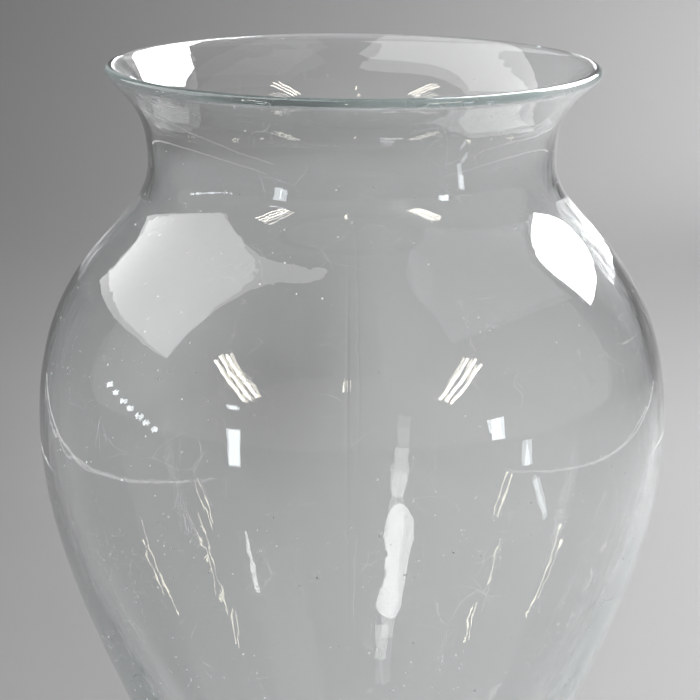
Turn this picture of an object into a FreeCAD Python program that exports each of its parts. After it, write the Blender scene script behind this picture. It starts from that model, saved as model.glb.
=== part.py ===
import FreeCAD, Part
import math
import os
import Sketcher

# Clear glass flower vase with a flared mouth, blown in one piece.
# The glass stands on the plane Z = 0 with its axis on Z, and the origin is at the centre of its foot.
# Every radius is measured from that axis and every height from that plane, in millimetres.

SIZES = {
    # The whole vessel.
    "overall_height": 250.0,
    # The mouth: its wall leans out and ends in a fire-polished bead.
    "rim_radius": 69.0,
    "lip_radius": 1.65,
    "flare_angle": 48.0,
    # The neck, where the outside is narrowest above the shoulder; its depth is from the top of the lip.
    "neck_radius": 57.0,
    "neck_depth": 27.2,
    "neck_wall": 2.0,
    # The belly, where the outside is widest.
    "belly_radius": 89.0,
    "belly_height": 150.0,
    "belly_wall": 2.6,
    # The waist, just above the foot.
    "waist_radius": 50.5,
    "waist_height": 16.0,
    "heel_wall": 3.4,
    # The foot, which rests on a flat ring round a push-up.
    "foot_radius": 52.0,
    "heel_radius": 4.0,
    "bearing_width": 6.0,
    "bearing_edge_radius": 2.5,
    "push_up_height": 6.5,
    # The bottom of the cavity, over the middle of the push-up.
    "base_thickness": 5.5,
    "corner_radius": 12.0,
    # How far a cut starts outside the glass.
    "cut_overrun": 3.0,
}

# How far each curve keeps the direction of its end, as a share of the height that the curve spans.
SHARES = {
    "flare_lip_share": 0.49,
    "flare_neck_share": 0.49,
    "shoulder_neck_share": 0.28,
    "shoulder_belly_share": 0.68,
    "taper_belly_share": 0.39,
    "taper_waist_share": 0.285,
    "foot_waist_share": 0.39,
    "foot_heel_share": 0.33,
    # How much longer or shorter the cavity's curves turn, as a share of the wall.
    "wall_turn_share": 0.5,
}

SHEET = "Sizes"
ON_AXIS = ""
ORIGIN = (-1, 1)
HORIZONTAL_AXIS_INDEX = -1
VERTICAL_AXIS_INDEX = -2
START_INDEX, END_INDEX, CENTRE_INDEX = 1, 2, 3
HEIGHT_TOLERANCE = 1e-6
RADIUS_TOLERANCE_SHARE = 0.001
RING_INSIDE = "foot_radius - heel_radius - bearing_width"


def make_sheet(document, tables):
    """Writes each named value in a row of its own: the name in column A and the number in column B."""
    sheet = document.addObject("Spreadsheet::Sheet", SHEET)
    row = 1
    for table in tables:
        for alias, number in table.items():
            sheet.set("A%d" % row, alias)
            sheet.set("B%d" % row, str(number))
            sheet.setAlias("B%d" % row, alias)
            row += 1
    document.recompute()
    return sheet


def origin_feature(body, role):
    """Finds one of the body's own origin planes or axes."""
    return next(feature for feature in body.Origin.OriginFeatures if feature.Role == role)


def formula(text):
    """Points every name in a formula at the sheet."""
    names = sorted(list(SIZES) + list(SHARES), key=len, reverse=True)
    words = text.split()
    return " ".join(SHEET + "." + word if word in names else word for word in words)


def upright_sketch(body, name):
    """A sketch in the plane of X and Z, whose upright axis is the vase's axis."""
    sketch = body.newObject("Sketcher::SketchObject", name)
    sketch.AttachmentSupport = [(origin_feature(body, "XZ_Plane"), "")]
    sketch.MapMode = "FlatFace"
    return sketch


def value_of(sketch, text):
    """The present value of a formula in millimetres, and zero on an axis."""
    return 0.0 if text == ON_AXIS else float(sketch.evalExpression(formula(text)))


def vector_of(sketch, point):
    """The present place of a point that is given by two formulas."""
    across, up = point
    return FreeCAD.Vector(value_of(sketch, across), value_of(sketch, up), 0)


def tie(sketch, kind, position, text, name):
    """Holds one coordinate of a point at a formula of the sheet."""
    constraint = Sketcher.Constraint(kind, *ORIGIN, *position, value_of(sketch, text))
    index = sketch.addConstraint(constraint)
    sketch.renameConstraint(index, name)
    sketch.setExpression("Constraints." + name, formula(text))


def hold_across(sketch, position, text, name):
    """Holds how far out a point lies, which may be on the vase's axis."""
    if text == ON_AXIS:
        sketch.addConstraint(Sketcher.Constraint("PointOnObject", *position, VERTICAL_AXIS_INDEX))
    else:
        tie(sketch, "DistanceX", position, text, name + "_across")


def hold_up(sketch, position, text, name):
    """Holds how high a point lies, which may be on the plane that the vase stands on."""
    if text == ON_AXIS:
        sketch.addConstraint(Sketcher.Constraint("PointOnObject", *position, HORIZONTAL_AXIS_INDEX))
    else:
        tie(sketch, "DistanceY", position, text, name + "_up")


def hold(sketch, position, point, name):
    """Holds a point of the sketch both ways."""
    across, up = point
    hold_across(sketch, position, across, name)
    hold_up(sketch, position, up, name)


def join(sketch, first, second):
    """Makes two ends meet."""
    sketch.addConstraint(Sketcher.Constraint("Coincident", *first, *second))


def draw_line(sketch, start, end, after):
    """A straight edge that starts where the one before it ends."""
    line = sketch.addGeometry(Part.LineSegment(vector_of(sketch, start), vector_of(sketch, end)), False)
    join(sketch, after, (line, START_INDEX))
    return line


def draw_curve(sketch, name, poles, after):
    """A cubic curve through four poles that starts where the edge before it ends."""
    cubic = Part.BSplineCurve()
    places = [vector_of(sketch, pole) for pole in poles]
    cubic.buildFromPolesMultsKnots(places, [4, 4], [0.0, 1.0], False, 3)
    curve = sketch.addGeometry(cubic, False)
    sketch.exposeInternalGeometry(curve)
    join(sketch, after, (curve, START_INDEX))
    for number, pole in enumerate(poles[1:], start=2):
        hold(sketch, (curve + number, CENTRE_INDEX), pole, "%s_pole_%d" % (name, number))
    return curve


def draw_arc(sketch, name, centre, first, last, after, onward):
    """An arc counter-clockwise from first to last; onward tells whether the outline runs the same way."""
    middle = vector_of(sketch, centre)
    spokes = [vector_of(sketch, point) - middle for point in (first, last)]
    angles = [math.atan2(spoke.y, spoke.x) for spoke in spokes]
    circle = Part.Circle(middle, FreeCAD.Vector(0, 0, 1), spokes[0].Length)
    arc = sketch.addGeometry(Part.ArcOfCircle(circle, *angles), False)
    near, far, goal = (START_INDEX, END_INDEX, last) if onward else (END_INDEX, START_INDEX, first)
    join(sketch, after, (arc, near))
    hold(sketch, (arc, far), goal, name + "_end")
    hold_across(sketch, (arc, CENTRE_INDEX), centre[0], name + "_centre")
    return arc


def lip_point(side):
    """Where the wall meets the lip's bead: side is + for the outside and - for the cavity."""
    across = "rim_radius - lip_radius %s lip_radius * cos( flare_angle )" % side
    opposite = "-" if side == "+" else "+"
    up = "overall_height - lip_radius %s lip_radius * sin( flare_angle )" % opposite
    return across, up


def lip_handle(side, reach):
    """The pole that gives the wall its lean below the lip's bead."""
    across, up = lip_point(side)
    return across + " - ( %s ) * sin( flare_angle )" % reach, up + " - ( %s ) * cos( flare_angle )" % reach


def draw_glass_section(body):
    """Half the glass as a closed outline, from the foot up the outside, over the lip and down the cavity."""
    sketch = upright_sketch(body, "glass_section")

    neck_height = "( overall_height - neck_depth )"
    flare_height = "( neck_depth - lip_radius )"
    shoulder_height = "( %s - belly_height )" % neck_height
    taper_height = "( belly_height - waist_height )"
    foot_height = "( waist_height - heel_radius )"

    heel_start = ("foot_radius - heel_radius", ON_AXIS)
    heel_end = ("foot_radius", "heel_radius")
    base = draw_line(sketch, (ON_AXIS, ON_AXIS), heel_start, ORIGIN)
    hold(sketch, (base, END_INDEX), heel_start, "heel_start")
    heel = draw_arc(sketch, "heel", ("foot_radius - heel_radius", "heel_radius"),
                    heel_start, heel_end, (base, END_INDEX), True)

    waist = ("waist_radius", "waist_height")
    foot = draw_curve(sketch, "foot", [
        heel_end,
        ("foot_radius", "heel_radius + foot_heel_share * " + foot_height),
        ("waist_radius", "waist_height - foot_waist_share * " + foot_height),
        waist,
    ], (heel, END_INDEX))

    belly = ("belly_radius", "belly_height")
    taper = draw_curve(sketch, "taper", [
        waist,
        ("waist_radius", "waist_height + taper_waist_share * " + taper_height),
        ("belly_radius", "belly_height - taper_belly_share * " + taper_height),
        belly,
    ], (foot, END_INDEX))

    neck = ("neck_radius", neck_height)
    shoulder = draw_curve(sketch, "shoulder", [
        belly,
        ("belly_radius", "belly_height + shoulder_belly_share * " + shoulder_height),
        ("neck_radius", neck_height + " - shoulder_neck_share * " + shoulder_height),
        neck,
    ], (taper, END_INDEX))

    lip_reach = "flare_lip_share * " + flare_height
    flare = draw_curve(sketch, "flare", [
        neck,
        ("neck_radius", neck_height + " + flare_neck_share * " + flare_height),
        lip_handle("+", lip_reach),
        lip_point("+"),
    ], (shoulder, END_INDEX))

    lip = draw_arc(sketch, "lip", ("rim_radius - lip_radius", "overall_height - lip_radius"),
                   lip_point("+"), lip_point("-"), (flare, END_INDEX), True)

    # The cavity's curves follow the outside at the wall that is named at the neck, belly and heel.
    inner_neck = ("neck_radius - neck_wall", neck_height)
    inner_flare = draw_curve(sketch, "inner_flare", [
        lip_point("-"),
        lip_handle("-", lip_reach + " + wall_turn_share * neck_wall"),
        ("neck_radius - neck_wall", neck_height + " + flare_neck_share * " + flare_height),
        inner_neck,
    ], (lip, END_INDEX))

    inner_belly = ("belly_radius - belly_wall", "belly_height")
    inner_shoulder = draw_curve(sketch, "inner_shoulder", [
        inner_neck,
        ("neck_radius - neck_wall",
         neck_height + " - shoulder_neck_share * " + shoulder_height + " - wall_turn_share * neck_wall"),
        ("belly_radius - belly_wall",
         "belly_height + shoulder_belly_share * " + shoulder_height + " - wall_turn_share * belly_wall"),
        inner_belly,
    ], (inner_flare, END_INDEX))

    floor_height = "( push_up_height + base_thickness )"
    corner_across = "waist_radius - heel_wall"
    corner_top = (corner_across, floor_height + " + corner_radius")
    inner_taper_height = "( belly_height - corner_radius - %s )" % floor_height
    inner_taper = draw_curve(sketch, "inner_taper", [
        inner_belly,
        ("belly_radius - belly_wall",
         "belly_height - taper_belly_share * " + taper_height + " + wall_turn_share * belly_wall"),
        (corner_across, corner_top[1] + " + taper_waist_share * " + inner_taper_height),
        corner_top,
    ], (inner_shoulder, END_INDEX))

    corner_foot = (corner_across + " - corner_radius", floor_height)
    corner = draw_arc(sketch, "corner", (corner_foot[0], corner_top[1]),
                      corner_foot, corner_top, (inner_taper, END_INDEX), False)

    floor_centre = (ON_AXIS, floor_height)
    floor = draw_line(sketch, corner_foot, floor_centre, (corner, START_INDEX))
    sketch.addConstraint(Sketcher.Constraint("Horizontal", floor))
    sketch.addConstraint(Sketcher.Constraint("PointOnObject", floor, END_INDEX, VERTICAL_AXIS_INDEX))
    axis = draw_line(sketch, floor_centre, (ON_AXIS, ON_AXIS), (floor, END_INDEX))
    join(sketch, (axis, END_INDEX), (base, START_INDEX))
    return sketch


def draw_push_up_section(body):
    """Half the hollow under the base: a shallow dome that rises from the ring the vase stands on."""
    sketch = upright_sketch(body, "push_up_section")
    low_centre = (ON_AXIS, "0 - cut_overrun")
    low_edge = (RING_INSIDE, "0 - cut_overrun")
    ring = (RING_INSIDE, ON_AXIS)
    crown = (ON_AXIS, "push_up_height")
    dome_centre = (ON_AXIS, "( push_up_height ^ 2 - ( %s ) ^ 2 ) / ( 2 * push_up_height )" % RING_INSIDE)

    bottom_line = Part.LineSegment(vector_of(sketch, low_centre), vector_of(sketch, low_edge))
    bottom = sketch.addGeometry(bottom_line, False)
    hold(sketch, (bottom, START_INDEX), low_centre, "low_centre")
    hold(sketch, (bottom, END_INDEX), low_edge, "low_edge")
    side = draw_line(sketch, low_edge, ring, (bottom, END_INDEX))
    sketch.addConstraint(Sketcher.Constraint("Vertical", side))
    sketch.addConstraint(Sketcher.Constraint("PointOnObject", side, END_INDEX, HORIZONTAL_AXIS_INDEX))
    dome = draw_arc(sketch, "dome", dome_centre, ring, crown, (side, END_INDEX), True)
    axis = draw_line(sketch, crown, low_centre, (dome, END_INDEX))
    join(sketch, (axis, END_INDEX), (bottom, START_INDEX))
    return sketch


def turn(body, kind, name, sketch):
    """Turns a half section right round the vase's axis, as glass or as a cut."""
    feature = body.newObject(kind, name)
    feature.Profile = sketch
    feature.ReferenceAxis = (sketch, ["V_Axis"])
    sketch.Visibility = False
    body.Document.recompute()
    return feature


def ring_edge(shape, radius):
    """Names the circular edge on the plane Z = 0 that has the given radius."""
    for number, edge in enumerate(shape.Edges, start=1):
        if not isinstance(edge.Curve, Part.Circle) or abs(edge.BoundBox.ZMax) > HEIGHT_TOLERANCE:
            continue
        if abs(edge.Curve.Radius - radius) < RADIUS_TOLERANCE_SHARE * radius:
            return "Edge%d" % number
    raise RuntimeError("no circle of radius %.2f lies under the base" % radius)


def make_glass_vase(document):
    """The whole vessel: the turned glass, less the push-up, with the ring's inner edge rounded."""
    body = document.addObject("PartDesign::Body", "glass_vase")
    body.Label = "glass_vase"

    glass = turn(body, "PartDesign::Revolution", "glass", draw_glass_section(body))
    push_up_section = draw_push_up_section(body)
    push_up = turn(body, "PartDesign::Groove", "push_up", push_up_section)
    if push_up.Shape.Volume >= glass.Shape.Volume:
        raise RuntimeError("the push-up cuts nothing")

    rounding = body.newObject("PartDesign::Fillet", "bearing_edge")
    rounding.Base = (push_up, [ring_edge(push_up.Shape, value_of(push_up_section, RING_INSIDE))])
    rounding.setExpression("Radius", formula("bearing_edge_radius"))
    document.recompute()
    body.Tip = rounding
    return body


def check(document, bodies):
    """Stops before anything is written if an object failed or a shape isn't sound."""
    for item in document.Objects:
        if "Invalid" in item.State or "Error" in item.State:
            raise RuntimeError("%s didn't build: %s" % (item.Label, item.State))
    for body in bodies:
        if body.Shape.isNull() or not body.Shape.isValid():
            raise RuntimeError("%s has no sound shape" % body.Label)


def main():
    document = FreeCAD.newDocument("vase")
    make_sheet(document, (SIZES, SHARES))
    bodies = [make_glass_vase(document)]
    document.recompute()
    check(document, bodies)
    os.makedirs("parts", exist_ok=True)
    for body in bodies:
        body.Shape.exportStep(os.path.join("parts", body.Label + ".step"))
        box = body.Shape.BoundBox
        print("%s: %.0f x %.0f x %.0f mm, %.0f mm3 of glass, %d faces" % (
            body.Label, box.XLength, box.YLength, box.ZLength, body.Shape.Volume, len(body.Shape.Faces)))


main()
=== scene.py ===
import math
import bpy
import numpy as np
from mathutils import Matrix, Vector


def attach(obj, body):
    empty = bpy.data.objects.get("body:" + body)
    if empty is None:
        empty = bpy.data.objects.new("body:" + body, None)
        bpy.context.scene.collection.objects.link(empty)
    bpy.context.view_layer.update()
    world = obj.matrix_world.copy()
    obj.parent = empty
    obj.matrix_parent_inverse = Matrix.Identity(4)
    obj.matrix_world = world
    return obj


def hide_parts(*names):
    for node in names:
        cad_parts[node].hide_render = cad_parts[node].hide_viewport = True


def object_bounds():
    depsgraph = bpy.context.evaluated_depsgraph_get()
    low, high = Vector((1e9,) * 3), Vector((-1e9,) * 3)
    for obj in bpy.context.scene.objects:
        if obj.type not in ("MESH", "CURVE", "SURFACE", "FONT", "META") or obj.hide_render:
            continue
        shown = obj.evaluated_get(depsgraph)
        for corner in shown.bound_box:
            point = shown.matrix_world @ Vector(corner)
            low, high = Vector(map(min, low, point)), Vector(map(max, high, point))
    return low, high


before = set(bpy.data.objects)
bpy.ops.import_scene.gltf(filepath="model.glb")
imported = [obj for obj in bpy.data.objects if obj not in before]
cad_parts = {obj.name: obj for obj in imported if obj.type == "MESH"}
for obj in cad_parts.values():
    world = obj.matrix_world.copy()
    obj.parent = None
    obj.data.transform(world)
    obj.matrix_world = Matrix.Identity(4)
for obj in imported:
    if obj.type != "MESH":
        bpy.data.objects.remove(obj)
cad_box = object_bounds()
scene = bpy.context.scene
scene.view_settings.view_transform = "Standard"

# The camera, in metres, degrees and millimetres of lens
CAMERA_PLACE = (-0.0005, -0.7778, 0.3549)
CAMERA_PITCH = 13.53
CAMERA_LENS = 144.72
CAMERA_SENSOR = 36.0
CAMERA_NEAR = 0.01


def make_camera():
    """A long lens that looks a little down at the shoulder, with the foot below the picture."""
    data = bpy.data.cameras.new("camera")
    data.sensor_width = CAMERA_SENSOR
    data.lens = CAMERA_LENS
    data.clip_start = CAMERA_NEAR
    camera = bpy.data.objects.new("camera", data)
    camera.location = CAMERA_PLACE
    camera.rotation_euler = (math.radians(90 - CAMERA_PITCH), 0, 0)
    scene.collection.objects.link(camera)
    scene.camera = camera


# The vase's sizes in metres: the height and the belly from the CAD box, to a tenth of a millimetre, and
# the rest as the part has them. Radii are from the axis, and a name that ends in Z is a level.
HEIGHT = round(cad_box[1][2], 4)
BELLY = round(cad_box[1][0], 4)
BELLY_Z, BELLY_WALL = 0.150, 0.0026
RIM, LIP, LEAN = 0.069, 0.00165, math.radians(48)
NECK, NECK_Z, NECK_WALL = 0.057, 0.2228, 0.0020
WAIST, WAIST_Z, HEEL_WALL = 0.0505, 0.016, 0.0034
FOOT, HEEL = 0.052, 0.004
RING_WIDTH, RING_EDGE, PUSH_UP = 0.006, 0.0025, 0.0065
BASE, CORNER = 0.0055, 0.012

# How far each curve keeps its end's direction, as a share of the height it spans
FLARE_LIP, FLARE_NECK = 0.49, 0.49
SHOULDER_NECK, SHOULDER_BELLY = 0.28, 0.68
TAPER_BELLY, TAPER_WAIST = 0.39, 0.285
FOOT_WAIST, FOOT_HEEL = 0.39, 0.33
WALL_TURN = 0.5

# Where the push-up meets the ring: the share of the dome that is kept, and the bend's two handles
DOME_SHARE, BEND_LIFT, BEND_SHARE = 0.985, 0.00012, 0.4

# How many points each run of the section has
OUTSIDE_STEPS = {"ring": 4, "heel": 10, "foot": 10, "taper": 62, "shoulder": 58, "flare": 32, "lip": 13}
INSIDE_STEPS = {"lip": 6, "flare": 28, "shoulder": 54, "taper": 56, "corner": 11, "floor": 8}
UNDERSIDE_STEPS = {"dome": 16, "bend": 6}


def curve(poles, steps):
    """Points of a cubic with four poles, the last one left out."""
    t = np.linspace(0, 1, steps, endpoint=False)[:, None]
    a, b, c, d = (np.array(pole) for pole in poles)
    return (1 - t) ** 3 * a + 3 * t * (1 - t) ** 2 * b + 3 * t * t * (1 - t) * c + t ** 3 * d


def arc(centre, radius, start, end, steps):
    """Points of an arc between two angles in degrees, the last one left out."""
    t = np.radians(np.linspace(start, end, steps, endpoint=False))
    return np.stack([centre[0] + radius * np.cos(t), centre[1] + radius * np.sin(t)], axis=1)


def line(start, end, steps):
    """Points of a straight run, the last one left out."""
    t = np.linspace(0, 1, steps, endpoint=False)[:, None]
    return np.array(start) * (1 - t) + np.array(end) * t


def lip_point(side):
    """Where the wall meets the bead of the lip, outside (1) or inside (-1)."""
    return (RIM - LIP + side * LIP * math.cos(LEAN), HEIGHT - LIP - side * LIP * math.sin(LEAN))


def lip_handle(side, reach):
    """The pole that leans the wall out below the bead."""
    across, up = lip_point(side)
    return across - reach * math.sin(LEAN), up - reach * math.cos(LEAN)


def outside():
    """The outside from the bearing ring up to the top of the bead, as radius and height."""
    flare = HEIGHT - LIP - NECK_Z
    shoulder = NECK_Z - BELLY_Z
    taper = BELLY_Z - WAIST_Z
    foot = WAIST_Z - HEEL
    steps = OUTSIDE_STEPS
    return np.vstack([
        line((FOOT - HEEL - RING_WIDTH + RING_EDGE, 0), (FOOT - HEEL, 0), steps["ring"]),
        arc((FOOT - HEEL, HEEL), HEEL, -90, 0, steps["heel"]),
        curve([(FOOT, HEEL), (FOOT, HEEL + FOOT_HEEL * foot),
               (WAIST, WAIST_Z - FOOT_WAIST * foot), (WAIST, WAIST_Z)], steps["foot"]),
        curve([(WAIST, WAIST_Z), (WAIST, WAIST_Z + TAPER_WAIST * taper),
               (BELLY, BELLY_Z - TAPER_BELLY * taper), (BELLY, BELLY_Z)], steps["taper"]),
        curve([(BELLY, BELLY_Z), (BELLY, BELLY_Z + SHOULDER_BELLY * shoulder),
               (NECK, NECK_Z - SHOULDER_NECK * shoulder), (NECK, NECK_Z)], steps["shoulder"]),
        curve([(NECK, NECK_Z), (NECK, NECK_Z + FLARE_NECK * flare),
               lip_handle(1, FLARE_LIP * flare), lip_point(1)], steps["flare"]),
        arc((RIM - LIP, HEIGHT - LIP), LIP, -math.degrees(LEAN), 90, steps["lip"]),
    ])


def inside():
    """The inside from the top of the bead down to the middle of the floor."""
    flare = HEIGHT - LIP - NECK_Z
    shoulder = NECK_Z - BELLY_Z
    taper = BELLY_Z - WAIST_Z
    neck, belly = NECK - NECK_WALL, BELLY - BELLY_WALL
    floor = PUSH_UP + BASE
    across, top = WAIST - HEEL_WALL, PUSH_UP + BASE + CORNER
    steps = INSIDE_STEPS
    return np.vstack([
        arc((RIM - LIP, HEIGHT - LIP), LIP, 90, 180 - math.degrees(LEAN), steps["lip"]),
        curve([lip_point(-1), lip_handle(-1, FLARE_LIP * flare + WALL_TURN * NECK_WALL),
               (neck, NECK_Z + FLARE_NECK * flare), (neck, NECK_Z)], steps["flare"]),
        curve([(neck, NECK_Z), (neck, NECK_Z - SHOULDER_NECK * shoulder - WALL_TURN * NECK_WALL),
               (belly, BELLY_Z + SHOULDER_BELLY * shoulder - WALL_TURN * BELLY_WALL),
               (belly, BELLY_Z)], steps["shoulder"]),
        curve([(belly, BELLY_Z), (belly, BELLY_Z - TAPER_BELLY * taper + WALL_TURN * BELLY_WALL),
               (across, top + TAPER_WAIST * (BELLY_Z - top)), (across, top)], steps["taper"]),
        arc((across - CORNER, top), CORNER, 0, -90, steps["corner"]),
        line((across - CORNER, floor), (0, floor), steps["floor"]),
    ])


def underside():
    """The push-up from its middle out to the bearing ring, with the ring's rounded inner edge."""
    reach = FOOT - HEEL - RING_WIDTH
    radius = (PUSH_UP ** 2 + reach ** 2) / (2 * PUSH_UP)
    edge = math.degrees(math.asin(reach / radius))
    dome = arc((0, PUSH_UP - radius), radius, 90, 90 - edge * DOME_SHARE, UNDERSIDE_STEPS["dome"])[1:]
    bend = curve([tuple(dome[-1]), (reach, BEND_LIFT), (reach + RING_EDGE * BEND_SHARE, 0),
                  (reach + RING_EDGE, 0)], UNDERSIDE_STEPS["bend"])[1:]
    return np.vstack([dome, bend])


# What blowing leaves uneven, in metres: the mouth leans over from a level up, and two sides bulge
LEAN_Z, MOUTH_SHIFT, MOUTH_DROP = 0.224, 0.00050, 0.00085
RIGHT_BULGE, RIGHT_BULGE_Z, RIGHT_BULGE_SPAN = 0.00060, 0.204, 0.013
LEFT_BULGE, LEFT_BULGE_Z, LEFT_BULGE_SPAN = 0.00050, 0.2375, 0.008

# Slow waves round the skin: depth, how many go round, how they twist with height, and their start
OUTER_WAVES = ((0.00005, 2, 31, 0.0), (0.00003, 5, -47, 1.3))
INNER_WAVES = ((0.00016, 3, 24, 0.7), (0.00006, 7, 61, 0.0))
CALM_FOOT, CALM_LIP, CALM_FADE = 0.03, 0.003, 0.02

# How far the skin lies inside the CAD solid's, all over and more at the belly, so that no wave passes it
INSET, BELLY_INSET, BELLY_INSET_SPAN = 0.00008, 0.00009, 0.04

# The lathe's ribs, and the two mould seams: their turn, width and height, and where they fade out
SEGMENTS = 252
SEAM_TURN = math.radians(-90.8)
SEAM_WIDTH = math.radians(0.28)
SEAM_HEIGHT = 0.000035
SEAM_ROUND_SHARE, SEAM_CLEAR_SHARE = 0.7, 0.8
SEAM_RIBS = (-2.0, -1.0, -0.5, 0.0, 0.5, 1.0, 2.0)
SEAM_FOOT, SEAM_TOP, SEAM_FADE = 0.004, 0.212, 0.02
SEAMS = (SEAM_TURN, SEAM_TURN + math.pi)


def bump_at(values, middle, width):
    """A smooth hump of height one."""
    return np.exp(-((values - middle) / width) ** 2)


def ramp(values, width):
    """Nought below zero, one above the width, and straight between."""
    return np.clip(values / width, 0, 1)


def waves(kinds, up, turn):
    """The sum of some slow waves at a height and a turn."""
    return sum(depth * np.sin(count * turn + twist * up + start) for depth, count, twist, start in kinds)


def turns():
    """The angles of the lathe's ribs: even, and closer together at the two mould seams."""
    even = np.linspace(-math.pi, math.pi, SEGMENTS, endpoint=False)
    close = [seam + SEAM_WIDTH * rib for seam in SEAMS for rib in SEAM_RIBS]
    clear = [turn for turn in even
             if min(abs(turn - place) for place in close) > SEAM_CLEAR_SHARE * SEAM_WIDTH]
    return np.sort(np.array(clear + close))


def uneven(radius, up, turn, side):
    """The small lean, bulges and seams of real glass; side is 1 outside and 0 in the cavity."""
    rise = ramp(up - LEAN_Z, HEIGHT - LEAN_Z)
    rise = rise * rise * (3 - 2 * rise)
    right = (1 + np.cos(turn)) / 2
    bulge = RIGHT_BULGE * right ** 2 * bump_at(up, RIGHT_BULGE_Z, RIGHT_BULGE_SPAN)
    bulge += LEFT_BULGE * (1 - right) ** 2 * bump_at(up, LEFT_BULGE_Z, LEFT_BULGE_SPAN)
    settled = ramp(up, CALM_FOOT) * ramp(HEIGHT - CALM_LIP - up, CALM_FADE)
    seam = sum(bump_at(np.angle(np.exp(1j * (turn - place))), 0, SEAM_WIDTH * SEAM_ROUND_SHARE)
               for place in SEAMS)
    seamed = ramp(up, SEAM_FOOT) * ramp(SEAM_TOP - up, SEAM_FADE)
    outer = waves(OUTER_WAVES, up, turn) - INSET
    inner = waves(INNER_WAVES, up, turn)
    out = radius + bulge + settled * (side * outer + (1 - side) * inner)
    inset = bump_at(up, BELLY_Z, BELLY_INSET_SPAN)
    out += side * SEAM_HEIGHT * seam * seamed - side * BELLY_INSET * inset
    x = out * np.cos(turn) + MOUTH_SHIFT * rise
    y = out * np.sin(turn)
    z = up - MOUTH_DROP * rise * right
    return x, y, z


def make_vase():
    """The blown glass as one closed skin, turned round the axis from the section above."""
    section = np.vstack([underside(), outside(), inside()])
    sides = np.concatenate([np.ones(len(underside()) + len(outside())), np.zeros(len(inside()))])
    angle = turns()
    count = len(angle)
    x, y, z = uneven(section[:, :1], section[:, 1:], angle[None, :], sides[:, None])
    points = np.stack([x, y, z], axis=-1).reshape(-1, 3)
    ends = np.array([[0, 0, PUSH_UP], [0, 0, PUSH_UP + BASE]])
    points = np.vstack([points, ends])
    rings = len(section)
    low, high = rings * count, rings * count + 1
    faces = []
    for ring in range(rings - 1):
        for rib in range(count):
            after = (rib + 1) % count
            faces.append((ring * count + rib, ring * count + after,
                          (ring + 1) * count + after, (ring + 1) * count + rib))
    last = (rings - 1) * count
    for rib in range(count):
        after = (rib + 1) % count
        faces.append((low, after, rib))
        faces.append((high, last + rib, last + after))
    mesh = bpy.data.meshes.new("vase_glass")
    mesh.from_pydata(points.tolist(), [], faces)
    mesh.update()
    mesh.shade_smooth()
    vase = bpy.data.objects.new("vase_glass", mesh)
    scene.collection.objects.link(vase)
    return vase


# Small tools for materials
def new_material(name):
    """A material with an empty node tree."""
    material = bpy.data.materials.new(name)
    material.use_nodes = True
    material.node_tree.nodes.clear()
    return material, material.node_tree


def add(tree, kind, **settings):
    """A node with some of its inputs or properties set."""
    node = tree.nodes.new(kind)
    for key, value in settings.items():
        if key in node.inputs:
            node.inputs[key].default_value = value
        else:
            setattr(node, key, value)
    return node


def scaled_place(tree, scale):
    """The place on the object, in metres, stretched by a scale along each axis."""
    place = add(tree, "ShaderNodeTexCoord")
    mapping = add(tree, "ShaderNodeMapping")
    mapping.inputs["Scale"].default_value = scale
    tree.links.new(place.outputs["Object"], mapping.inputs["Vector"])
    return mapping.outputs["Vector"]


def noise_at(tree, scale, detail, stretch=(1, 1, 1)):
    """A cloud from nought to one on the object."""
    node = add(tree, "ShaderNodeTexNoise", Scale=scale, Detail=detail)
    tree.links.new(scaled_place(tree, stretch), node.inputs["Vector"])
    return node.outputs["Fac"]


def remap(tree, value, low, high, new_low, new_high):
    """A value's range moved to another range, and held at its ends."""
    node = add(tree, "ShaderNodeMapRange")
    for key, number in (("From Min", low), ("From Max", high), ("To Min", new_low), ("To Max", new_high)):
        node.inputs[key].default_value = number
    tree.links.new(value, node.inputs["Value"])
    return node.outputs["Result"]


def arithmetic(tree, operation, first, second):
    """One step of arithmetic on two operands, each a number or a socket."""
    node = add(tree, "ShaderNodeMath", operation=operation)
    for slot, value in enumerate((first, second)):
        if isinstance(value, (int, float)):
            node.inputs[slot].default_value = value
        else:
            tree.links.new(value, node.inputs[slot])
    return node.outputs[0]


# The glass. A noise is its scale, its detail and its stretch along each axis, and a range is two values
# that go in and the two that come out for them. Hair lines lie flat or stand tall, dust is fine or coarse.
GLASS_COLOUR, GLASS_INDEX = (0.995, 0.998, 0.997, 1), 1.52
TINT_COLOUR, TINT_DENSITY = (0.55, 0.88, 0.84, 1), 5.5
FLAT_HAIRS = {"scale": 38, "stretch": (1.0, 1.0, 2.2), "width": 0.008, "low": 0.55, "high": 0.66}
TALL_HAIRS = {"scale": 74, "stretch": (1.0, 1.0, 0.25), "width": 0.012, "low": 0.60, "high": 0.68}
FINE_DUST = {"scale": 300, "size": 0.11, "share": 0.30, "low": 0.42, "high": 0.62}
COARSE_DUST = {"scale": 140, "size": 0.07, "share": 0.35, "low": 0.40, "high": 0.60}
HAIR_BEND, HAIR_BEND_NOISE = 0.02, {"Scale": 34, "Detail": 2}
HAIR_CLOUD, DUST_CLOUD, DUST_CORE_SHARE = (48, 3), (30, 2), 0.5
SMEAR, SMEAR_RANGE = (22, 4, (1.0, 1.0, 0.45)), (0.46, 0.76, 0.0, 0.012)
HAIR_ROUGH, DUST_ROUGH = 0.25, 0.5
HAIR_WHITE, DUST_WHITE = 0.13, 0.60
RIPPLE, RIPPLE_DEPTH = (130, 2, (1.0, 1.0, 0.55)), 0.00005
CLEAR_COLOUR, LEAVE_DEPTH = (0.955, 0.972, 0.970, 1), 2.5


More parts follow.
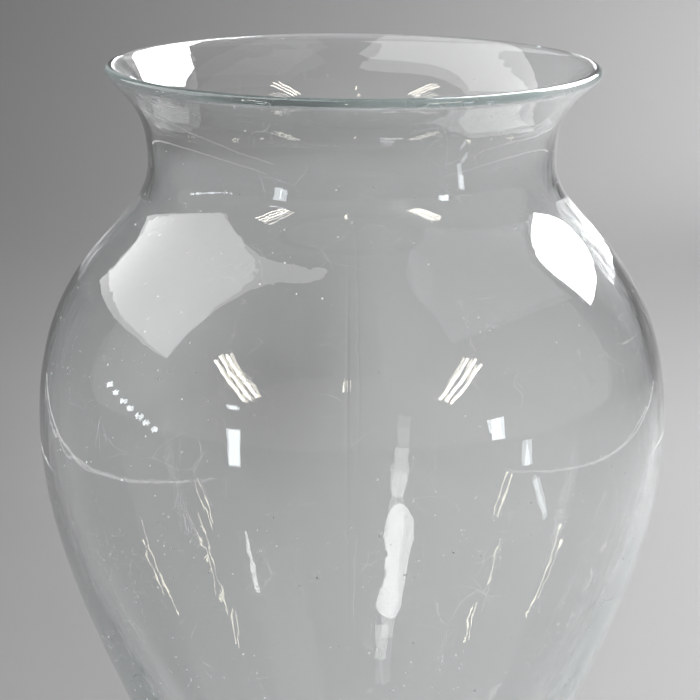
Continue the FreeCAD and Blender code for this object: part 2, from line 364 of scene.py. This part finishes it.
def bent_place(tree, scale, reach):
    """The stretched place, pushed about by noise so that straight lines run crooked."""
    base = scaled_place(tree, scale)
    push = add(tree, "ShaderNodeTexNoise", **HAIR_BEND_NOISE)
    tree.links.new(base, push.inputs["Vector"])
    blend = add(tree, "ShaderNodeVectorMath", operation="MULTIPLY_ADD")
    tree.links.new(push.outputs["Color"], blend.inputs[0])
    blend.inputs[1].default_value = (reach, reach, reach)
    tree.links.new(base, blend.inputs[2])
    return blend.outputs["Vector"]


def scratches(tree, scale, stretch, width, low, high):
    """Hair lines along the edges of a stretched and bent mosaic, kept where a cloud is thick."""
    mosaic = add(tree, "ShaderNodeTexVoronoi", feature="DISTANCE_TO_EDGE", Scale=scale)
    tree.links.new(bent_place(tree, stretch, HAIR_BEND), mosaic.inputs["Vector"])
    hair = remap(tree, mosaic.outputs["Distance"], 0.0, width, 1.0, 0.0)
    thick = remap(tree, noise_at(tree, *HAIR_CLOUD), low, high, 0.0, 1.0)
    return arithmetic(tree, "MULTIPLY", hair, thick)


def specks(tree, scale, size, share, low, high):
    """Round specks of dust in some cells of a mosaic, thicker where a cloud is."""
    mosaic = add(tree, "ShaderNodeTexVoronoi", feature="F1", Scale=scale)
    tree.links.new(scaled_place(tree, (1, 1, 1)), mosaic.inputs["Vector"])
    dot = remap(tree, mosaic.outputs["Distance"], DUST_CORE_SHARE * size, size, 1.0, 0.0)
    draw = add(tree, "ShaderNodeSeparateColor")
    tree.links.new(mosaic.outputs["Color"], draw.inputs["Color"])
    chosen = arithmetic(tree, "GREATER_THAN", draw.outputs["Red"], 1 - share)
    thick = remap(tree, noise_at(tree, *DUST_CLOUD), low, high, 0.0, 1.0)
    return arithmetic(tree, "MULTIPLY", arithmetic(tree, "MULTIPLY", dot, chosen), thick)


def make_glass():
    """Clear glass, faintly blue-green where it is thick, with the ripple of the mould, hair scratches,
    smears and a little dust."""
    material, tree = new_material("clear_glass")
    scratch = arithmetic(tree, "MAXIMUM", scratches(tree, **FLAT_HAIRS), scratches(tree, **TALL_HAIRS))
    dust = arithmetic(tree, "MAXIMUM", specks(tree, **FINE_DUST), specks(tree, **COARSE_DUST))
    smear = remap(tree, noise_at(tree, *SMEAR), *SMEAR_RANGE)

    rough = arithmetic(tree, "ADD", smear, arithmetic(tree, "MULTIPLY", scratch, HAIR_ROUGH))
    rough = arithmetic(tree, "ADD", rough, arithmetic(tree, "MULTIPLY", dust, DUST_ROUGH))
    marks = arithmetic(tree, "MAXIMUM", arithmetic(tree, "MULTIPLY", scratch, HAIR_WHITE),
                       arithmetic(tree, "MULTIPLY", dust, DUST_WHITE))
    clearness = arithmetic(tree, "SUBTRACT", 1.0, marks)

    ripple = noise_at(tree, *RIPPLE)
    bump = add(tree, "ShaderNodeBump", Strength=1.0, Distance=RIPPLE_DEPTH)
    tree.links.new(ripple, bump.inputs["Height"])

    glass = add(tree, "ShaderNodeBsdfPrincipled")
    glass.inputs["Base Color"].default_value = GLASS_COLOUR
    glass.inputs["IOR"].default_value = GLASS_INDEX
    tree.links.new(clearness, glass.inputs["Transmission Weight"])
    tree.links.new(rough, glass.inputs["Roughness"])
    tree.links.new(bump.outputs["Normal"], glass.inputs["Normal"])

    tint = add(tree, "ShaderNodeVolumeAbsorption", Density=TINT_DENSITY)
    tint.inputs["Color"].default_value = TINT_COLOUR

    # Lamps shine through the glass, and light that has run far inside the wall leaves it.
    path = add(tree, "ShaderNodeLightPath")
    run_far = arithmetic(tree, "GREATER_THAN", path.outputs["Glossy Depth"], LEAVE_DEPTH)
    leave = arithmetic(tree, "MAXIMUM", path.outputs["Is Shadow Ray"], run_far)
    clear = add(tree, "ShaderNodeBsdfTransparent")
    clear.inputs["Color"].default_value = CLEAR_COLOUR
    surface = add(tree, "ShaderNodeMixShader")
    tree.links.new(leave, surface.inputs["Fac"])
    tree.links.new(glass.outputs["BSDF"], surface.inputs[1])
    tree.links.new(clear.outputs["BSDF"], surface.inputs[2])

    output = add(tree, "ShaderNodeOutputMaterial")
    tree.links.new(surface.outputs["Shader"], output.inputs["Surface"])
    tree.links.new(tint.outputs["Volume"], output.inputs["Volume"])
    return material


# The floor's paper, with places in metres, and the light and shade painted on it. A cloud is a painted
# shade or a painted pool of light; it has a middle, a width and a change of lightness.
# Painted light and shade: the grey is lighter to the right, darker again far out on the right, and lighter
# toward the front
GREY_AND_PAINTED_LIGHT_RANGE = (-0.30, 0.30, 0.108, 0.224)
RIGHT_PAINTED_SHADE_RANGE = (0.33, 0.60, 1.0, 0.45)
FRONT_PAINTED_LIGHT_RANGE = (0.1, 0.9, 1.24, 1.0)
# A painted strip of shade across the paper: where it lies, how fast it fades behind and before that, and
# how dark it is from left to right
SHADE_BAND_PLACE, SHADE_BAND_BEYOND, SHADE_BAND_BEFORE = 0.92, 0.13, 0.46
SHADE_BAND_RANGE = (0.02, 0.22, 0.0, 0.36)
MOTTLE, MOTTLE_RANGE = (3.0, 2, (0.5, 1.0, 1.0)), (0.3, 0.7, 0.97, 1.03)
# Two painted clouds: a darker one, painted shade behind the vase, and a lighter one, a painted pool of
# light beside it
PAINTED_CLOUD_BACK, PAINTED_CLOUD_LENGTH = 0.66, 0.24
PAINTED_SHADE_AND_LIGHT_CLOUDS = ((-0.045, 0.040, -0.32), (-0.118, 0.035, 0.20))
PAPER_TINT = {"Red": 1.0, "Green": 1.0, "Blue": 1.012}
PAPER_ROUGH = 0.7


def fall_off(tree, power):
    """One over e to a power: one at nought and less further out."""
    return arithmetic(tree, "POWER", math.exp(-1), power)


def away(tree, value, middle, width):
    """How many widths a place lies past the middle."""
    return arithmetic(tree, "DIVIDE", arithmetic(tree, "SUBTRACT", value, middle), width)


def make_floor_painted_light():
    """Grey paper with a faint mottle of its own, and painted light and shade: lighter to the right and to
    the front, darker far out on the right, a painted strip of shade across it, a painted shade behind the
    vase and a painted pool of light beside that."""
    material, tree = new_material("floor_paper_painted_light")
    place = add(tree, "ShaderNodeTexCoord")
    split = add(tree, "ShaderNodeSeparateXYZ")
    tree.links.new(place.outputs["Object"], split.inputs["Vector"])
    across, back = split.outputs["X"], split.outputs["Y"]
    # Painted light: lighter to the right, with painted shade far out on the right
    tone_with_painted_light = arithmetic(tree, "MULTIPLY", remap(tree, across, *GREY_AND_PAINTED_LIGHT_RANGE), remap(tree, across, *RIGHT_PAINTED_SHADE_RANGE))

    # The painted strip of shade
    beyond = away(tree, back, SHADE_BAND_PLACE, SHADE_BAND_BEYOND)
    before = arithmetic(tree, "DIVIDE", arithmetic(tree, "SUBTRACT", SHADE_BAND_PLACE, back), SHADE_BAND_BEFORE)
    painted_shade_band = arithmetic(tree, "POWER", arithmetic(tree, "MAXIMUM", beyond, before), 2.0)
    painted_shade_band = arithmetic(tree, "MULTIPLY", fall_off(tree, painted_shade_band), remap(tree, across, *SHADE_BAND_RANGE))
    # The paper's own mottle, made lighter toward the front by painted light
    mottle = remap(tree, noise_at(tree, *MOTTLE), *MOTTLE_RANGE)
    mottle = arithmetic(tree, "MULTIPLY", mottle, remap(tree, back, *FRONT_PAINTED_LIGHT_RANGE))
    tone_with_painted_light = arithmetic(tree, "MULTIPLY", tone_with_painted_light, arithmetic(tree, "SUBTRACT", mottle, painted_shade_band))

    # The painted shade behind the vase and the painted pool of light beside it
    for middle, width, change in PAINTED_SHADE_AND_LIGHT_CLOUDS:
        aside = away(tree, across, middle, width)
        along = away(tree, back, PAINTED_CLOUD_BACK, PAINTED_CLOUD_LENGTH)
        spread = arithmetic(tree, "ADD", arithmetic(tree, "MULTIPLY", aside, aside),
                            arithmetic(tree, "MULTIPLY", along, along))
        cloud = arithmetic(tree, "MULTIPLY", fall_off(tree, spread), change)
        tone_with_painted_light = arithmetic(tree, "MULTIPLY", tone_with_painted_light, arithmetic(tree, "ADD", 1.0, cloud))

    paint = add(tree, "ShaderNodeCombineColor")
    for channel, share in PAPER_TINT.items():
        tree.links.new(arithmetic(tree, "MULTIPLY", tone_with_painted_light, share), paint.inputs[channel])
    paper = add(tree, "ShaderNodeBsdfPrincipled", Roughness=PAPER_ROUGH)
    tree.links.new(paint.outputs["Color"], paper.inputs["Base Color"])
    output = add(tree, "ShaderNodeOutputMaterial")
    tree.links.new(paper.outputs["BSDF"], output.inputs["Surface"])
    return material


# The studio's floor, in metres
SWEEP_FRONT, SWEEP_NEAR, SWEEP_START = -5.0, -1.0, 0.9
SWEEP_RADIUS, SWEEP_TOP, SWEEP_HALF = 0.6, 2.6, 4.0
SWEEP_TURN = 3


def make_sweep():
    """A paper floor that bends up behind the vase."""
    bend = [(SWEEP_START + SWEEP_RADIUS * math.sin(math.radians(a)),
             SWEEP_RADIUS * (1 - math.cos(math.radians(a)))) for a in range(0, 90 + SWEEP_TURN, SWEEP_TURN)]
    section = [(SWEEP_FRONT, 0.0), (SWEEP_NEAR, 0.0)] + bend + [(SWEEP_START + SWEEP_RADIUS, SWEEP_TOP)]
    points = [(x, y, z) for y, z in section for x in (-SWEEP_HALF, SWEEP_HALF)]
    faces = [(2 * n, 2 * n + 1, 2 * n + 3, 2 * n + 2) for n in range(len(section) - 1)]
    mesh = bpy.data.meshes.new("floor")
    mesh.from_pydata(points, [], faces)
    mesh.shade_smooth()
    floor = bpy.data.objects.new("floor", mesh)
    floor.data.materials.append(make_floor_painted_light())
    scene.collection.objects.link(floor)
    return floor


# The lamps hang round the vase's middle. A direction is a turn and a lift in degrees, as towards() says.
MIDDLE = np.array([0.0, 0.0, 0.19])
LAMP_DISTANCE = 1.5
WHITE, WARM, COLD, TUBE_WARM = (1, 1, 1), (1.0, 0.93, 0.76), (0.90, 0.96, 1.0), (1.0, 0.95, 0.84)

# A reflection in the near wall has crossed two surfaces of glass at most, and one seen through it more
NEAR_DEPTH, FAR_DEPTH = 2.4, 2.6
BARE_DEPTH, BARE_SEEN, BARE_SHINE = 1.5, 0.08, 1.2

# Large panels: name, distance, level, which wall shows them, and the directions of their corners
PANELS = (
    ("softbox_right", 1.5, 20, "bare",
     ((116, 20.5), (157, 11), (160, 28), (134, 47.5), (126, 43.5), (115, 37.5))),
    ("softbox_top", 1.5, 20, "near",
     ((134, 47.5), (160, 28), (164, 57), (141, 62))),
    ("panel_left", 1.6, 2.6, "both",
     ((-136, 15), (-76, 22), (-74, 50), (-136, 50))),
    ("panel_above", 1.6, 2.6, "both",
     ((-136, 50), (-74, 50), (-69, 58.5), (-58, 63.5), (-45, 66.6), (-30, 69.0), (-17, 71.2), (-8, 77),
      (-136, 80))),
    ("panel_right", 1.8, 0.58, "both",
     ((46, 40), (112, 27), (112, 58), (46, 60))),
    ("panel_right_above", 1.8, 0.75, "both",
     ((46, 60), (112, 58), (100, 80), (46, 80))),
)

# Two fixtures of three tubes each: the ends of the middle tube, the step to the next tube at either end,
# and how much shorter each tube is. Turns count away from the camera on both sides.
SIDES = (("left", -1, (54.5, 31.4), (35.9, 15.3)), ("right", 1, (50.4, 30.7), (33.5, 15.0)))
TUBE_STEP, TUBE_FAR_STEP, TUBE_CUT = (-2.2, 1.8), (-1.9, 1.1), (-0.75, -0.65)
TUBES = ((-1, 1.5), (0, 0.0), (1, 0.6))
TUBE_WIDTH, TUBE_LEVEL, TUBE_DISTANCE = 0.023, 26, 1.3

# Rows of two tubes on each side: name, both ends, and the steps in turn from one tube to the next
ROWS = (("row", (76.0, 12.0), (74.5, 18.0), (1.3, 1.0)), ("far_row", (112, 6.0), (114.5, 9.5), (1.6, 1.4)))
ROW_WIDTH, ROW_LEVEL = 0.016, 16

# Single lamps: name, both ends, width, level, colour, wall and distance
NEAR_LAMPS = (
    ("lamp_front_left", (-40, -9.5), (-40.6, 2.2), 0.085, 9, COLD, "near", 1.1),
    ("lamp_front_left_small", (-42.6, 10.2), (-42.6, 11.8), 0.10, 9, COLD, "near", LAMP_DISTANCE),
    ("lamp_front_right", (51.5, -2.5), (51.5, 5), 0.13, 11, COLD, "near", LAMP_DISTANCE),
    ("lamp_side_right", (61.5, -12.6), (61.5, -5.4), 0.040, 6, COLD, "near", 0.8),
    ("lamp_low_right", (67.3, -27.0), (61.0, -17.5), 0.012, 4, COLD, "near", 0.4),
    ("lamp_small", (-3.4, 22), (-3.4, 27), 0.03, 20, WARM, "near", LAMP_DISTANCE),
)
FAR_LAMPS = (
    ("column_2", (-21.5, 16.0), (-21.5, 24.5), 0.19, 4.2, WHITE, "far", LAMP_DISTANCE),
    ("column_3", (-21.5, 8.0), (-21.5, 16.0), 0.13, 1.3, WHITE, "far", LAMP_DISTANCE),
    ("lamp_far_left", (57, 23.4), (57, 25.6), 0.055, 12, WHITE, "far", LAMP_DISTANCE),
)

# The oval lamp at the top of the column: its middle, its half sizes in degrees and its level
OVAL_MIDDLE, OVAL_HALF, OVAL_LEVEL, OVAL_STEP = (-25, 27.6), (8, 2.4), 9.0, 20

# A string of small lamps: both ends of the first, and the step to the next
BEADS, BEAD_LOW, BEAD_HIGH, BEAD_STEP = 7, (-98, 2.6), (-96.4, 3.8), (4.2, -1.1)
BEAD_WIDTH, BEAD_LEVEL = 0.035, 12

# The table's bright edges, painted as glowing lines on the floor that only the near wall shows, in metres
GLOWING_TABLE_EDGES = (("left", -0.53), ("right", 0.65))
TABLE_HALF, TABLE_FRONT, TABLE_BACK, TABLE_UP, TABLE_EDGE_GLOW = 0.011, -0.50, 0.8, 0.001, 1.5


def towards(turn, lift, distance):
    """A place seen from the vase: turn 0 is toward the camera and 90 to the right; lift is up."""
    a, e = math.radians(turn), math.radians(lift)
    way = np.array([math.sin(a) * math.cos(e), -math.cos(a) * math.cos(e), math.sin(e)])
    return MIDDLE + distance * way


def bare_level(tree, path, level):
    """A level that changes behind a wall: weaker where the lamp is seen, stronger where it shines."""
    seen = arithmetic(tree, "MAXIMUM", path.outputs["Is Glossy Ray"], path.outputs["Is Transmission Ray"])
    behind = remap(tree, seen, 0.0, 1.0, BARE_SHINE * level, BARE_SEEN * level)
    through = arithmetic(tree, "GREATER_THAN", path.outputs["Transmission Depth"], BARE_DEPTH)
    before = arithmetic(tree, "SUBTRACT", 1.0, through)
    return arithmetic(tree, "ADD", arithmetic(tree, "MULTIPLY", through, behind),
                      arithmetic(tree, "MULTIPLY", before, level))


def one_wall(tree, path, shader, wall):
    """A shader that only the near or only the far wall shows, and that is clear elsewhere."""
    shown = add(tree, "ShaderNodeMixShader")
    near, far = (1.0, 0.0) if wall == "near" else (0.0, 1.0)
    tree.links.new(remap(tree, path.outputs["Transmission Depth"], NEAR_DEPTH, FAR_DEPTH, near, far),
                   shown.inputs["Fac"])
    tree.links.new(add(tree, "ShaderNodeBsdfTransparent").outputs["BSDF"], shown.inputs[1])
    tree.links.new(shader, shown.inputs[2])
    return shown.outputs["Shader"]


def make_panel(name, corners, level, colour=WHITE, wall="both"):
    """A glowing panel, seen only in the glass and by its light. The vase's near wall, its far wall or
    both show it; one that is "bare" is weak where a wall stands before its reflection."""
    mesh = bpy.data.meshes.new(name)
    last = len(corners) - 1
    mesh.from_pydata([tuple(corner) for corner in corners], [], [(last, n, n + 1) for n in range(last - 1)])
    panel = bpy.data.objects.new(name, mesh)
    material, tree = new_material(name)
    glow = add(tree, "ShaderNodeEmission", Strength=level)
    glow.inputs["Color"].default_value = (*colour, 1)
    shader = glow.outputs["Emission"]
    path = add(tree, "ShaderNodeLightPath")
    if wall == "bare":
        tree.links.new(bare_level(tree, path, level), glow.inputs["Strength"])
    elif wall != "both":
        shader = one_wall(tree, path, shader, wall)
    output = add(tree, "ShaderNodeOutputMaterial")
    tree.links.new(shader, output.inputs["Surface"])
    mesh.materials.append(material)
    scene.collection.objects.link(panel)
    panel.visible_camera = False
    panel.visible_diffuse = panel.visible_shadow = wall in ("both", "bare")
    return panel


def strip(name, start, end, width, level, colour, wall, distance=LAMP_DISTANCE):
    """A narrow lamp between two directions."""
    low, high = towards(*start, distance), towards(*end, distance)
    side = np.cross(high - low, (low + high) / 2 - MIDDLE)
    side *= width / 2 / np.linalg.norm(side)
    return make_panel(name, [low - side, low + side, high + side, high - side], level, colour, wall)


def make_tubes(word, side, near, far):
    """One fixture of three tubes, and the two rows of two tubes on the same side."""
    made = []
    for tube, early in TUBES:
        start = (side * (near[0] + TUBE_STEP[0] * tube + TUBE_CUT[0] * early),
                 near[1] + TUBE_STEP[1] * tube + TUBE_CUT[1] * early)
        end = (side * (far[0] + TUBE_FAR_STEP[0] * tube), far[1] + TUBE_FAR_STEP[1] * tube)
        name = "tube_%d_%s" % (tube + 2, word)
        made.append(strip(name, start, end, TUBE_WIDTH, TUBE_LEVEL, TUBE_WARM, "near", TUBE_DISTANCE))
    for tube in (-1, 1):
        for kind, low, high, steps in ROWS:
            start = (side * (low[0] + steps[0] * tube), low[1])
            end = (side * (high[0] + steps[1] * tube), high[1])
            name = "%s_%s_%d" % (kind, word, tube + 2)
            made.append(strip(name, start, end, ROW_WIDTH, ROW_LEVEL, WARM, "far"))
    return made


def make_oval():
    """The oval lamp at the top of the column of light."""
    angles = [math.radians(a) for a in range(0, 360, OVAL_STEP)]
    corners = [towards(OVAL_MIDDLE[0] + OVAL_HALF[0] * math.cos(a),
                       OVAL_MIDDLE[1] + OVAL_HALF[1] * math.sin(a), LAMP_DISTANCE) for a in angles]
    return make_panel("column_1", corners, OVAL_LEVEL, wall="far")


def make_bead(bead):
    """One lamp of the string."""
    turn, lift = BEAD_STEP[0] * bead, BEAD_STEP[1] * bead
    return strip("bead_%d" % (bead + 1), (BEAD_LOW[0] + turn, BEAD_LOW[1] + lift),
                 (BEAD_HIGH[0] + turn, BEAD_HIGH[1] + lift), BEAD_WIDTH, BEAD_LEVEL, COLD, "near")


def make_glowing_table_edge(word, x):
    """A glowing line on the floor, along one side of the vase: the table's edge painted as light for the
    glass to reflect.
    """
    left, right = x - TABLE_HALF, x + TABLE_HALF
    corners = [(left, TABLE_FRONT, TABLE_UP), (right, TABLE_FRONT, TABLE_UP),
               (right, TABLE_BACK, TABLE_UP), (left, TABLE_BACK, TABLE_UP)]
    return make_panel("glowing_table_edge_" + word, corners, TABLE_EDGE_GLOW, wall="near")


def make_lights():
    """A softbox behind on the right, a large dim panel on the left and over the vase, a dimmer one on
    the right, two fixtures of three tubes each on the camera's side, the room's other lamps, and the
    table's edges as glowing lines of painted light."""
    made = [make_panel(name, [towards(*corner, distance) for corner in corners], level, wall=wall)
            for name, distance, level, wall, corners in PANELS]
    for word, side, near, far in SIDES:
        made += make_tubes(word, side, near, far)
    made += [strip(*lamp) for lamp in NEAR_LAMPS]
    made.append(make_oval())
    made += [strip(*lamp) for lamp in FAR_LAMPS]
    made += [make_bead(bead) for bead in range(BEADS)]
    # The table's edges, glowing as painted light
    made += [make_glowing_table_edge(word, x) for word, x in GLOWING_TABLE_EDGES]
    return made


# The room
ROOM_LEVEL, ROOM_COLOUR = 0.31, (1.0, 0.985, 0.955, 1)


def make_world():
    """A plain, slightly warm grey room."""
    world = bpy.data.worlds.new("room")
    scene.world = world
    world.use_nodes = True
    tree = world.node_tree
    tree.nodes.clear()
    back = add(tree, "ShaderNodeBackground", Strength=ROOM_LEVEL)
    output = add(tree, "ShaderNodeOutputWorld")
    tree.links.new(back.outputs["Background"], output.inputs["Surface"])
    back.inputs["Color"].default_value = ROOM_COLOUR


# The scene
make_camera()
vase = make_vase()
vase.data.materials.append(make_glass())
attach(vase, "root")
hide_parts("glass_vase")

make_sweep()
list(make_lights())
make_world()
